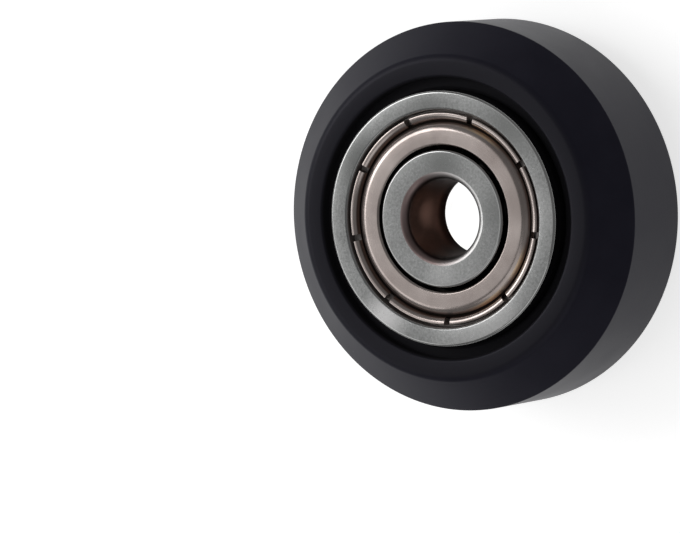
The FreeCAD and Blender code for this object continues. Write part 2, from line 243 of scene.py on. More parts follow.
class VEEWHEEL_PG_shield(bpy.types.PropertyGroup):
    """Sizes and finish of the pressed shields."""

    sheet: length("Sheet", "Thickness of the sheet", 0.2)
    gap: length("Gap", "Between a shield and the inner ring, radially", 0.28)
    curl: length("Curl", "Curled edge, radially", 0.34)
    slope: length("Slope", "Slope inside the curled edge, radially", 0.19)
    floor: length("Floor", "Valley's floor, radially", 0.07)
    riser: length("Riser", "Riser up to the flat annulus, radially", 0.25)
    valley: length("Valley", "Valley below the top", 0.39)
    bend: length("Bend", "Turned-down inner edge", 0.1)
    edge_rounding: length("Edge Rounding", "Outside of the curled edge", 0.12)
    crown_rounding: length("Crown Rounding", "Inside of the curled edge", 0.33)
    crest_rounding: length("Crest Rounding", "Between the riser and the annulus", 0.62)
    foot_rounding: length("Foot Rounding", "Side of the valley's floor below the riser", 0.05)
    under_rounding: length("Under Rounding", "Bends seen from below", 0.05)
    rim_rounding: length("Rim Rounding", "Cut edges of the sheet", 0.02)
    notch_width: length("Notch Width", "Each cut, along the edge", 0.42)
    notch_phase: degrees("Notch Phase", "Middle of the first cut, from +X", 14)
    notch_count: IntProperty(name="Notch Count", description="Cuts in the curled edge", default=9, min=1)
    colour: colour("Colour", "Pressed sheet", 0.43, 0.378, 0.356)
    dull_colour: colour("Dull Colour", "Handled patches of the sheet", 0.26, 0.222, 0.208)
    # Darker brown over the valley and its slope, and a near-black line at the valley's foot.
    valley_brown_colour: colour("Brown Colour", "Dried grease in the valley", 0.085, 0.06, 0.05)
    # Painted reflection: golden streaks on the riser that stand in for a reflected highlight.
    painted_reflection_colour: colour("Gold Colour", "Reflected streaks above the valley", 0.75, 0.55, 0.36)
    line_colour: colour("Line Colour", "Thick grease at the valley's foot", 0.008, 0.006, 0.005)
    roughness: fraction("Roughness", "Sheen of the sheet", 0.2)
    dull_roughness: fraction("Dull Roughness", "Sheen of its handled patches", 0.27)
    # Sheen of the darker valley, and also of the painted golden reflections.
    valley_and_streak_roughness: fraction("Brown Roughness", "Sheen of the dried grease and the varnish", 0.35)
    line_roughness: fraction("Line Roughness", "Sheen of the thick grease", 0.6)


class VEEWHEEL_PG_stage(bpy.types.PropertyGroup):
    """Framing and light."""

    distance: length("Camera Distance", "From the lens to the wheel's centre", 340.0)
    elevation: degrees("Elevation", "Of the camera above the floor", 59.45)
    roll: degrees("Roll", "Of the camera about its line of sight", -97.7)
    floor_size: length("Floor Size", "Side of the floor", 3000.0)
    floor_colour: colour("Floor Colour", "Matt white floor", 0.6, 0.6, 0.6)
    floor_roughness: fraction("Floor Roughness", "Sheen of the floor", 0.9)
    room_light: strength("Room Light", "Even light from all round", 0.24)
    floor_seen: strength("Floor Seen", "Glow of the floor to the camera", 0.7)
    floor_mirrored: strength("Floor Mirrored", "Glow of the floor in reflections", 0.72)
    bore_glow: strength("Bore Glow", "More glow in reflections, under the bore", 0.3)
    lamp_reach: length("Lamp Reach", "From each lamp to the wheel's centre", 500.0)
    top_depth: length("Top Depth", "Depth of the large top lamp", 600.0)
    top_radiance: strength("Top Radiance", "Brightness of the large top lamp", 0.6)
    key_depth: length("Key Depth", "Depth of the narrow key lamp", 220.0)
    key_radiance: strength("Key Radiance", "Brightness of the narrow key lamp", 3.6)
    side_depth: length("Side Depth", "Depth of the lamp on the left", 170.0)
    side_radiance: strength("Side Radiance", "Brightness of the lamp on the left", 1.3)
    low_depth: length("Low Depth", "Depth of the lamp at the lower right", 340.0)
    low_radiance: strength("Low Radiance", "Brightness of the lamp at the lower right", 0.75)


# Node building

NUMBER, VECTOR, COLOUR = "NodeSocketFloat", "NodeSocketVector", "NodeSocketColor"


def add(tree, kind, **settings):
    """A new node with its settings."""
    node = tree.nodes.new(kind)
    for name, value in settings.items():
        setattr(node, name, value)
    return node


def feed(tree, socket, source):
    """Links a socket, or sets a number, a vector or a colour, which gets full alpha."""
    if isinstance(source, bpy.types.NodeSocket):
        tree.links.new(source, socket)
    elif socket.type == "RGBA":
        socket.default_value = (*source, 1.0)
    else:
        socket.default_value = source


def feed_all(tree, node, sources):
    """Feeds a node's inputs, given by their names."""
    for name, source in sources.items():
        feed(tree, node.inputs[name], source)


def combine(tree, operation, *sources):
    """A math node on sockets or numbers; returns its output."""
    node = add(tree, "ShaderNodeMath", operation=operation)
    for socket, source in zip(node.inputs, sources):
        feed(tree, socket, source)
    return node.outputs[0]


def rescale(tree, value, low, high, to_low=0.0, to_high=1.0, smooth=False):
    """A map range node on sockets or numbers; returns its output."""
    node = add(tree, "ShaderNodeMapRange", interpolation_type="SMOOTHSTEP" if smooth else "LINEAR")
    feed_all(tree, node, {
        "Value": value, "From Min": low, "From Max": high, "To Min": to_low, "To Max": to_high,
    })
    return node.outputs["Result"]


def blend(tree, mask, under, over, kind="MIX"):
    """A colour mix node on sockets or plain values; returns its output."""
    node = add(tree, "ShaderNodeMix", data_type="RGBA", blend_type=kind)
    feed(tree, node.inputs["Factor"], mask)
    for socket, source in zip((s for s in node.inputs if s.type == "RGBA"), (under, over)):
        feed(tree, socket, source)
    return next(s for s in node.outputs if s.type == "RGBA")


def bump(tree, height, distance):
    """A bump node; returns its normal."""
    node = add(tree, "ShaderNodeBump")
    feed_all(tree, node, {"Distance": distance, "Height": height})
    return node.outputs["Normal"]


def object_place(tree):
    """The Object coordinates, as a socket."""
    return add(tree, "ShaderNodeTexCoord").outputs["Object"]


def axle_distance(tree):
    """The distance from the axle and the height along it, as two sockets."""
    parts = add(tree, "ShaderNodeSeparateXYZ")
    tree.links.new(object_place(tree), parts.inputs[0])
    across, along = (combine(tree, "MULTIPLY", parts.outputs[name], parts.outputs[name]) for name in "XY")
    radius = combine(tree, "SQRT", combine(tree, "ADD", across, along))
    return radius, parts.outputs["Z"]


def new_group(name, inputs, outputs):
    """An empty shader node group; its inputs and outputs give each socket's name and kind."""
    tree = bpy.data.node_groups.new(name, "ShaderNodeTree")
    for way, sockets in (("INPUT", inputs), ("OUTPUT", outputs)):
        for label, kind in sockets.items():
            tree.interface.new_socket(label, in_out=way, socket_type=kind)
    return tree, tree.nodes.new("NodeGroupInput"), tree.nodes.new("NodeGroupOutput")


def turning_marks_group():
    """Fine rings round the axle, as a lathe or a cup wheel leaves them."""
    inputs = {"Marks per Metre": NUMBER, "Detail": NUMBER}
    tree, start, end = new_group("Turning Marks", inputs, {"Height": NUMBER})
    place = add(tree, "ShaderNodeCombineXYZ")
    for name, distance in zip("XY", axle_distance(tree)):
        marks = combine(tree, "MULTIPLY", distance, start.outputs["Marks per Metre"])
        tree.links.new(marks, place.inputs[name])
    noise = add(tree, "ShaderNodeTexNoise", noise_dimensions="2D")
    feed_all(tree, noise, {"Vector": place.outputs[0], "Scale": 1.0, "Detail": start.outputs["Detail"]})
    tree.links.new(noise.outputs["Fac"], end.inputs["Height"])
    return tree


def mottle_group():
    """Soft irregular variation between two colours."""
    colours = {"Colour": COLOUR, "Other Colour": COLOUR}
    inputs = {**colours, "Scale": NUMBER, "Detail": NUMBER, "Contrast": NUMBER}
    tree, start, end = new_group("Mottle", inputs, {"Colour": COLOUR, "Value": NUMBER})
    noise = add(tree, "ShaderNodeTexNoise")
    tree.links.new(object_place(tree), noise.inputs["Vector"])
    for name in ("Scale", "Detail"):
        tree.links.new(start.outputs[name], noise.inputs[name])
    half_span = combine(tree, "MULTIPLY", combine(tree, "SUBTRACT", 1.0, start.outputs["Contrast"]), 0.5)
    low = combine(tree, "SUBTRACT", 0.5, half_span)
    high = combine(tree, "ADD", 0.5, half_span)
    value = rescale(tree, noise.outputs["Fac"], low, high)
    mixed = blend(tree, value, start.outputs["Colour"], start.outputs["Other Colour"])
    feed_all(tree, end, {"Colour": mixed, "Value": value})
    return tree


def band_group(name, low_label, high_label, along_axle):
    """A soft-edged band between two heights along the axle, or else two distances from it."""
    inputs = {low_label: NUMBER, high_label: NUMBER, "Softness": NUMBER}
    tree, start, end = new_group(name, inputs, {"Mask": NUMBER})
    radius, height = axle_distance(tree)
    place = height if along_axle else radius
    low, high, soft = (start.outputs[label] for label in inputs)
    above = rescale(tree, place, low, combine(tree, "ADD", low, soft), smooth=True)
    below = rescale(tree, place, combine(tree, "SUBTRACT", high, soft), high, 1.0, 0.0, smooth=True)
    tree.links.new(combine(tree, "MULTIPLY", above, below), end.inputs["Mask"])
    return tree


def ring_band_group():
    """A soft-edged band between two distances from the axle."""
    return band_group("Ring Band", "Inner Radius", "Outer Radius", along_axle=False)


def height_band_group():
    """A soft-edged band between two heights along the axle."""
    return band_group("Height Band", "Low", "High", along_axle=True)


def spot_group():
    """A soft round spot about a centre."""
    inputs = {"Centre": VECTOR, "Radius": NUMBER, "Strength": NUMBER}
    tree, start, end = new_group("Spot", inputs, {"Mask": NUMBER})
    centre, radius, most = (start.outputs[label] for label in inputs)
    away = add(tree, "ShaderNodeVectorMath", operation="DISTANCE")
    for socket, source in zip(away.inputs, (object_place(tree), centre)):
        tree.links.new(source, socket)
    near = rescale(tree, away.outputs["Value"], 0.0, radius, most, 0.0, smooth=True)
    tree.links.new(near, end.inputs["Mask"])
    return tree


def specks_group():
    """Sparse small specks."""
    inputs = {"Cells per Metre": NUMBER, "Size": NUMBER, "Share": NUMBER}
    tree, start, end = new_group("Specks", inputs, {"Mask": NUMBER})
    scale, size, share = (start.outputs[label] for label in inputs)
    cells = add(tree, "ShaderNodeTexVoronoi")
    feed_all(tree, cells, {"Vector": object_place(tree), "Scale": scale})
    chosen = add(tree, "ShaderNodeSeparateColor")
    tree.links.new(cells.outputs["Color"], chosen.inputs[0])
    kept = combine(tree, "LESS_THAN", chosen.outputs[0], share)
    half = combine(tree, "MULTIPLY", size, 0.5)
    near = rescale(tree, cells.outputs["Distance"], half, size, 1.0, 0.0)
    tree.links.new(combine(tree, "MULTIPLY", near, kept), end.inputs["Mask"])
    return tree


GROUP_MAKERS = {
    "Turning Marks": turning_marks_group,
    "Mottle": mottle_group,
    "Ring Band": ring_band_group,
    "Height Band": height_band_group,
    "Spot": spot_group,
    "Specks": specks_group,
}


def use_group(tree, name, **values):
    """The named effect placed in a material with its own values, built on first use."""
    group = bpy.data.node_groups.get(name) or GROUP_MAKERS[name]()
    node = add(tree, "ShaderNodeGroup", node_tree=group)
    feed_all(tree, node, {label.replace("_", " "): value for label, value in values.items()})
    return node


def new_material(name):
    """A material with only its shader; returns the material, its tree and the shader."""
    material = bpy.data.materials.new(name)
    material.use_nodes = True
    return material, material.node_tree, material.node_tree.nodes["Principled BSDF"]


def coat(tree, under, over, inner, outer, softness):
    """Lays a colour and a roughness over another pair between two distances from the axle."""
    band = use_group(tree, "Ring Band", Inner_Radius=inner, Outer_Radius=outer, Softness=softness)
    mask = band.outputs["Mask"]
    tinted = blend(tree, mask, under[0], over[0])
    rough = rescale(tree, mask, 0.0, 1.0, under[1], over[1])
    return tinted, rough


def clouds(tree, plain, patches):
    """Soft patches of one colour in another; returns the colour."""
    mottle = use_group(
        tree, "Mottle", Colour=plain, Other_Colour=patches, Scale=420.0, Detail=2.0, Contrast=0.55,
    )
    return mottle.outputs["Colour"]


def on_face(hour, radius, height=BEARING_FACE):
    """A point at a clock hour, with 12 at +X and 3 at -Y; on the front bearing's face by default."""
    angle = -hour * math.tau / 12
    return Vector((radius * math.cos(angle), radius * math.sin(angle), height))


def spot(tree, under, over, centre, radius, amount=1.0):
    """Lays a colour over another in a soft spot."""
    patch = use_group(tree, "Spot", Centre=centre, Radius=radius, Strength=amount)
    return blend(tree, patch.outputs["Mask"], under, over)


def patched(tree, under, over, patches):
    """Lays a colour over another in patches of the front face."""
    for hour, distance, size, amount in patches:
        under = spot(tree, under, over, on_face(hour, distance * MM), size * MM, amount)
    return under


def acetal(sizes):
    """Black acetal: satin, faintly turned, with a few pale specks."""
    material, tree, shader = new_material("Black Acetal")
    mottle = use_group(
        tree, "Mottle", Colour=sizes.colour, Other_Colour=sizes.worn_colour,
        Scale=350.0, Detail=6.0, Contrast=0.4,
    )
    specks = use_group(tree, "Specks", Cells_per_Metre=650.0, Size=0.05, Share=0.22)
    tinted = blend(tree, specks.outputs["Mask"], mottle.outputs["Colour"], sizes.speck_colour)
    smoothest, roughest = sizes.roughness - 0.03, sizes.roughness + 0.04
    finish = (tinted, rescale(tree, mottle.outputs["Value"], 0.0, 1.0, smoothest, roughest))
    # Painted shade: a darker colour laid over the flat faces.
    face = (sizes.face_shade_colour, sizes.roughness)
    face_r = WHEEL_R - sizes.bevel_width + sizes.face_rounding / 2
    finish = coat(tree, finish, face, 0.0, face_r, sizes.face_rounding)
    # Painted shade in the recess round each bearing, over a real matt finish.
    recess_shade = (sizes.recess_shade_colour, sizes.recess_roughness)
    soft = 0.1 * MM
    finish = coat(tree, finish, recess_shade, 0.0, BEARING_R + sizes.recess_gap + soft, soft)
    marks = use_group(tree, "Turning Marks", Marks_per_Metre=6000.0, Detail=4.0)
    grain = use_group(tree, "Mottle", Scale=9000.0, Detail=3.0, Contrast=0.2)
    relief = combine(tree, "ADD", marks.outputs["Height"], grain.outputs["Value"])
    feed_all(tree, shader, {
        "Base Color": finish[0],
        "Roughness": finish[1],
        "Normal": bump(tree, relief, 1.5 * MICRON),
        "IOR": 1.48,
        "Specular IOR Level": sizes.specular,
        "Specular Tint": sizes.sheen_colour,
    })
    return material


def ground_steel(name, sizes, coats):
    """Ground bearing steel under coats, each a (colour, roughness, inner, outer, softness)."""
    material, tree, shader = new_material(name)
    grinding = use_group(
        tree, "Mottle", Colour=sizes.dark_steel_colour, Other_Colour=sizes.steel_colour,
        Scale=6500.0, Detail=4.0, Contrast=0.6,
    )
    handled = use_group(
        tree, "Mottle", Colour=WHITE, Other_Colour=(0.74, 0.74, 0.74),
        Scale=330.0, Detail=3.0, Contrast=0.5,
    )
    face = blend(tree, 1.0, grinding.outputs["Colour"], handled.outputs["Colour"], "MULTIPLY")
    # Painted highlight and painted shade patches on the rings' front faces.
    face = patched(tree, face, sizes.painted_highlight_colour, PAINTED_HIGHLIGHT_PATCHES)
    face = patched(tree, face, sizes.painted_shade_colour, PAINTED_SHADE_PATCHES)
    grains = grinding.outputs["Value"]
    finish = (face, rescale(tree, grains, 0.0, 1.0, sizes.ground_roughness, sizes.smooth_roughness))
    for rgb, roughness, inner, outer, softness in coats:
        finish = coat(tree, finish, (rgb, roughness), inner, outer, softness)
    marks = use_group(tree, "Turning Marks", Marks_per_Metre=14000.0, Detail=3.0)
    relief = combine(tree, "ADD", marks.outputs["Height"], grains)
    feed_all(tree, shader, {
        "Base Color": finish[0],
        "Roughness": finish[1],
        "Normal": bump(tree, relief, 0.9 * MICRON),
        "Metallic": 1.0,
    })
    return material


def filmed_steel(sizes, edges, mouth_r, soft):
    """The front inner ring's steel, with a dried oil film over its bore and one side of its mouth."""
    material = ground_steel("Filmed Ring Steel", sizes, edges)
    tree = material.node_tree
    shader = tree.nodes["Principled BSDF"]
    bare = [shader.inputs[name].links[0].from_socket for name in ("Base Color", "Roughness")]
    thin = clouds(tree, sizes.mauve_colour, sizes.dark_mauve_colour)
    filmed = on_face(FILMED_MOUTH_HOUR, mouth_r)
    mouth = spot(tree, sizes.mouth_colour, thin, filmed, radius=2.2 * mouth_r, amount=2.0)
    tinted, rough = coat(tree, bare, (mouth, sizes.mouth_roughness), 0.0, mouth_r - soft / 2, soft)
    thick = clouds(tree, sizes.film_colour, sizes.copper_colour)
    in_bore = use_group(
        tree, "Ring Band", Inner_Radius=-BORE_R, Outer_Radius=BORE_R + 4 * soft, Softness=2 * soft,
    )
    reach = sizes.film_depth
    films = (
        (thick, BEARING_FACE - sizes.bore_corner / 8, sizes.bore_corner),
        (sizes.film_end_colour, LIP_HALF + reach, 0.6 * reach),
    )
    thinnest = on_face(THIN_FILM_HOUR, BORE_R, BEARING_MIDDLE)
    for film, top, softness in films:
        below = use_group(tree, "Height Band", Low=-reach, High=top, Softness=softness)
        covered = combine(tree, "MULTIPLY", below.outputs["Mask"], in_bore.outputs["Mask"])
        tinted = blend(tree, covered, tinted, film)
        tinted = spot(tree, tinted, sizes.patch_colour, thinnest, reach, amount=0.5)
    feed_all(tree, shader, {
        "Base Color": tinted,
        "Roughness": rough,
        "Specular Tint": [sizes.film_edge] * 3,
    })
    return material


def pressed_steel(sizes):
    """Pressed sheet of the shields: warm and mottled, darker brown in the valley with a near-black line at
    its foot, and with painted golden reflections on the riser.
    """
    material, tree, shader = new_material("Pressed Steel")
    sheen = use_group(
        tree, "Mottle", Colour=sizes.colour, Other_Colour=sizes.dull_colour,
        Scale=430.0, Detail=9.0, Contrast=0.55,
    )
    sheet = patched(tree, sheen.outputs["Colour"], sizes.dull_colour, DULL_PATCHES)
    rough = rescale(tree, sheen.outputs["Value"], 0.0, 1.0, sizes.roughness, sizes.dull_roughness)
    slope_r = SHIELD_R - sizes.curl - sizes.slope
    floor_r = slope_r - sizes.floor
    valley_brown_soft, painted_streak_soft, line_soft = 0.1 * MM, 0.06 * MM, 0.03 * MM
    # Darker brown over the valley and its slope.
    valley_brown = (sizes.valley_brown_colour, sizes.valley_and_streak_roughness)
    finish = coat(tree, (sheet, rough), valley_brown, floor_r - sizes.floor, slope_r + sizes.slope, valley_brown_soft)
    # Painted reflections: golden streaks on the riser just above the valley.
    for hour, size in PAINTED_REFLECTION_STREAKS:
        painted_gold = spot(tree, finish[0], sizes.painted_reflection_colour, on_face(hour, floor_r), size * MM)
        painted_streak = (painted_gold, sizes.valley_and_streak_roughness)
        finish = coat(tree, finish, painted_streak, floor_r - sizes.riser, floor_r, painted_streak_soft)
    # A near-black line at the valley's foot.
    line = (sizes.line_colour, sizes.line_roughness)
    half = sizes.floor / 2
    finish = coat(tree, finish, line, floor_r - half, slope_r + half, line_soft)
    grain = use_group(tree, "Mottle", Scale=7000.0, Detail=3.0, Contrast=0.3)
    feed_all(tree, shader, {
        "Base Color": finish[0],
        "Roughness": finish[1],
        "Normal": bump(tree, grain.outputs["Value"], 0.8 * MICRON),
        "Metallic": 1.0,
    })
    return material


def plain_steel(name, rgb, roughness, mottle_scale):
    """Steel of a small hidden piece, with a faint mottle."""
    material, tree, shader = new_material(name)
    dulled = [0.85 * part for part in rgb]
    sheen = use_group(
        tree, "Mottle", Colour=rgb, Other_Colour=dulled, Scale=mottle_scale, Detail=4.0, Contrast=0.3,
    )
    value = sheen.outputs["Value"]
    feed_all(tree, shader, {
        "Base Color": sheen.outputs["Colour"],
        "Roughness": rescale(tree, value, 0.0, 1.0, roughness, roughness + 0.06),
        "Normal": bump(tree, value, 0.5 * MICRON),
        "Metallic": 1.0,
    })
    return material


# Mesh building

def draw_outline(bm, corners):
    """A closed outline in the XZ plane from (radius, height, rounding) corners; returns its vertices."""
    verts = [bm.verts.new((radius, 0.0, height)) for radius, height, _ in corners]
    for vert, following in zip(verts, verts[1:] + verts[:1]):
        bm.edges.new((vert, following))
    return verts


def round_corners(bm, verts, corners, steps=6):
    """Rounds the corners of a wire outline with arcs tangent to both sides."""
    for vert, (_, _, rounding) in zip(verts, corners):
        if not rounding:
            continue
        one, other = (edge.other_vert(vert).co - vert.co for edge in vert.link_edges)
        bmesh.ops.bevel(
            bm, geom=[vert], offset=rounding / math.tan(one.angle(other) / 2),
            offset_type="OFFSET", segments=steps, profile=0.5, affect="VERTICES", material=-1,
        )


def sweep(bm, geometry, angle, steps, join=False, copies=False):
    """Spins wires, faces or copies of them about the axle; returns what the last step made."""
    swept = bmesh.ops.spin(
        bm, geom=geometry, cent=(0, 0, 0), axis=AXLE, angle=angle, steps=steps,
        use_merge=join, use_normal_flip=False, use_duplicate=copies,
    )
    return swept["geom_last"]


def hollow_race(bm, start, end, centre_r, steps=20):
    """Swaps the straight edge between two corners for an arc about the race's centre."""
    bm.edges.remove(bm.edges.get((start, end)))
    centre = Vector((centre_r, 0, 0))
    from_angle, to_angle = (math.atan2(v.co.z, v.co.x - centre_r) for v in (start, end))
    arc = bmesh.ops.spin(
        bm, geom=[start], cent=centre, axis=(0, 1, 0), angle=-((to_angle - from_angle) % math.tau),
        steps=steps, use_merge=False, use_normal_flip=False, use_duplicate=False,
    )
    last = next(item for item in arc["geom_last"] if isinstance(item, bmesh.types.BMVert))
    bmesh.ops.weld_verts(bm, targetmap={last: end})


def turned_piece(corners, steps, corner_steps=6, race=None):
    """A bmesh turned from a rounded outline; race gives two corners by number, and its arc's centre."""
    bm = bmesh.new()
    verts = draw_outline(bm, corners)
    if race:
        start, end, centre_r = race
        hollow_race(bm, verts[start], verts[end], centre_r)
    round_corners(bm, verts, corners, corner_steps)
    sweep(bm, bm.verts[:] + bm.edges[:], math.tau, steps, join=True)
    return bm


def merge_doubles(bm):
    """Merges vertices that lie on each other."""
    bmesh.ops.remove_doubles(bm, verts=bm.verts[:], dist=0.1 * MICRON)


def close_up(bm, sharp=math.radians(38)):
    """Merges doubles, turns faces outwards, marks sharp edges and checks that nothing is open."""
    merge_doubles(bm)
    bmesh.ops.recalc_face_normals(bm, faces=bm.faces[:])
    for face in bm.faces:
        face.smooth = True
    for edge in bm.edges:
        if len(edge.link_faces) != 2:
            raise RuntimeError(f"an edge at {tuple(edge.verts[0].co)} is open")
        edge.smooth = edge.calc_face_angle() < sharp


def new_object(name, bm, material):
    """A mesh object in the scene, made from a bmesh."""
    mesh = bpy.data.meshes.new(name)
    bm.to_mesh(mesh)
    bm.free()
    mesh.materials.append(material)
    made = bpy.data.objects.new(name, mesh)
    bpy.context.scene.collection.objects.link(made)
    return made


def finish_piece(name, bm, material, body, node):
    """Makes a mesh object that stands for a CAD node, which it hides, and rides on its body."""
    close_up(bm)
    piece = new_object(name, bm, material)
    even = piece.modifiers.new("Even Shading", "WEIGHTED_NORMAL")
    even.keep_sharp = True
    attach(piece, body)
    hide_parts(node)


def mirrored(side):
    """The corners of one side of the wheel's middle plane, and the same on the other side."""
    return side + [(radius, -height, rounding) for radius, height, rounding in reversed(side)]


def turn(bm, angle, axis):
    """Turns a whole bmesh about an axis through the origin."""
    bmesh.ops.rotate(bm, verts=bm.verts[:], cent=(0, 0, 0), matrix=Matrix.Rotation(angle, 3, axis))


def lift(bm, side, facing=1):
    """Moves a bearing's piece, drawn round the origin, to its side; facing -1 turns it over first."""
    if facing < 0:
        turn(bm, math.pi, "X")
    bmesh.ops.translate(bm, verts=bm.verts[:], vec=AXLE * (side * BEARING_MIDDLE))


class VEEWHEEL_OT_wheel(bpy.types.Operator):
    """Models the black wheel with its land, bevels and bearing seats"""

    bl_idname = "vee_wheel.wheel"
    bl_label = "Wheel"

    def execute(self, context):
        sizes = context.scene.vee_wheel
        land_half = WHEEL_HALF - sizes.bevel_width
        face_r = WHEEL_R - sizes.bevel_width
        seat_r = BEARING_R + sizes.seat_play
        recess_r = BEARING_R + sizes.recess_gap
        recess_floor = WHEEL_HALF - sizes.recess_depth
        small = sizes.seat_lead / 4
        corners = mirrored([
            (BEARING_R - sizes.lip_reach, LIP_HALF, small),
            (seat_r, LIP_HALF, small),
            (seat_r, recess_floor - sizes.seat_lead, small),
            (seat_r + sizes.seat_lead, recess_floor, small),
            (recess_r, recess_floor, small),
            (recess_r, WHEEL_HALF, sizes.recess_rounding),
            (face_r, WHEEL_HALF, sizes.face_rounding),
            (WHEEL_R, land_half, sizes.rim_rounding),
        ])
        bm = turned_piece(corners, steps=288)
        finish_piece("wheel_body", bm, acetal(sizes), "wheel", "vee_wheel")
        return {"FINISHED"}


class VEEWHEEL_OT_outer_rings(bpy.types.Operator):
    """Models both bearings' outer rings"""

    bl_idname = "vee_wheel.outer_rings"
    bl_label = "Outer Rings"

    def execute(self, context):
        sizes = context.scene.vee_wheel_bearing
        race_r = BALL_R * sizes.race_conformity
        race_bottom = PITCH_R + BALL_R + sizes.ball_play
        shoulder_r = race_bottom - sizes.outer_race_depth
        centre_r = race_bottom - race_r
        race_half = math.sqrt(race_r ** 2 - (shoulder_r - centre_r) ** 2)
        mouth_r = BEARING_R - sizes.ring_face
        small = sizes.mouth_corner / 3
        corners = mirrored([
            (shoulder_r, race_half, 0),
            (shoulder_r, SHIELD_LEDGE, small),
            (mouth_r, SHIELD_LEDGE, small),
            (mouth_r, BEARING_HALF, sizes.mouth_corner),
            (BEARING_R, BEARING_HALF, sizes.ring_corner),
        ])
        edge = (sizes.edge_colour, sizes.edge_roughness)
        grease = (sizes.grease_colour, sizes.grease_roughness)
        band, soft = sizes.polished_edge, sizes.polished_edge / 4
        coats = [
            (*edge, mouth_r, mouth_r + band / 2, soft),
            (*edge, BEARING_R - band, BEARING_R + band, soft),
            (*grease, 0.0, mouth_r + soft / 2, soft / 3),
        ]
        steel = ground_steel("Outer Ring Steel", sizes, coats)
        for name, side in SIDES:
            bm = turned_piece(corners, steps=270, race=(-1, 0, centre_r))
            lift(bm, side)
            finish_piece(
                f"{name}_ground_outer_ring", bm, steel, "wheel", f"{name}_outer_ring",
            )
        return {"FINISHED"}


class VEEWHEEL_OT_inner_rings(bpy.types.Operator):
    """Models both bearings' inner rings"""

    bl_idname = "vee_wheel.inner_rings"
    bl_label = "Inner Rings"

    def execute(self, context):
        sizes = context.scene.vee_wheel_bearing
        race_r = BALL_R * sizes.race_conformity
        race_bottom = PITCH_R - BALL_R - sizes.ball_play
        centre_r = race_bottom + race_r
        race_half = math.sqrt(race_r ** 2 - (centre_r - INNER_SHOULDER_R) ** 2)
        mouth_r = BORE_R + sizes.bore_corner
        corners = [
            (BORE_R, BEARING_HALF, sizes.bore_corner),
            (INNER_SHOULDER_R, BEARING_HALF, sizes.shoulder_corner),
            (INNER_SHOULDER_R, race_half, 0),
            (INNER_SHOULDER_R, -race_half, 0),
            (INNER_SHOULDER_R, -BEARING_HALF, sizes.shoulder_corner),
            (BORE_R, -BEARING_HALF, sizes.seam_corner),
        ]
        soft = sizes.polished_edge / 4
        shoulder_edge = INNER_SHOULDER_R - sizes.polished_edge
        edges = [(sizes.edge_colour, sizes.edge_roughness, shoulder_edge, BEARING_R, soft)]
        polish = [(sizes.polish_colour, sizes.polish_roughness, 0.0, mouth_r, soft)]
        steels = (
            filmed_steel(sizes, edges, mouth_r, soft),
            ground_steel("Polished Ring Steel", sizes, edges + polish),
        )
        for (name, side), steel in zip(SIDES, steels):
            bm = turned_piece(corners, steps=216, corner_steps=10, race=(2, 3, centre_r))
            lift(bm, side, side)
            finish_piece(
                f"{name}_ground_inner_ring", bm, steel, "inner_rings", f"{name}_inner_ring",
            )
        return {"FINISHED"}


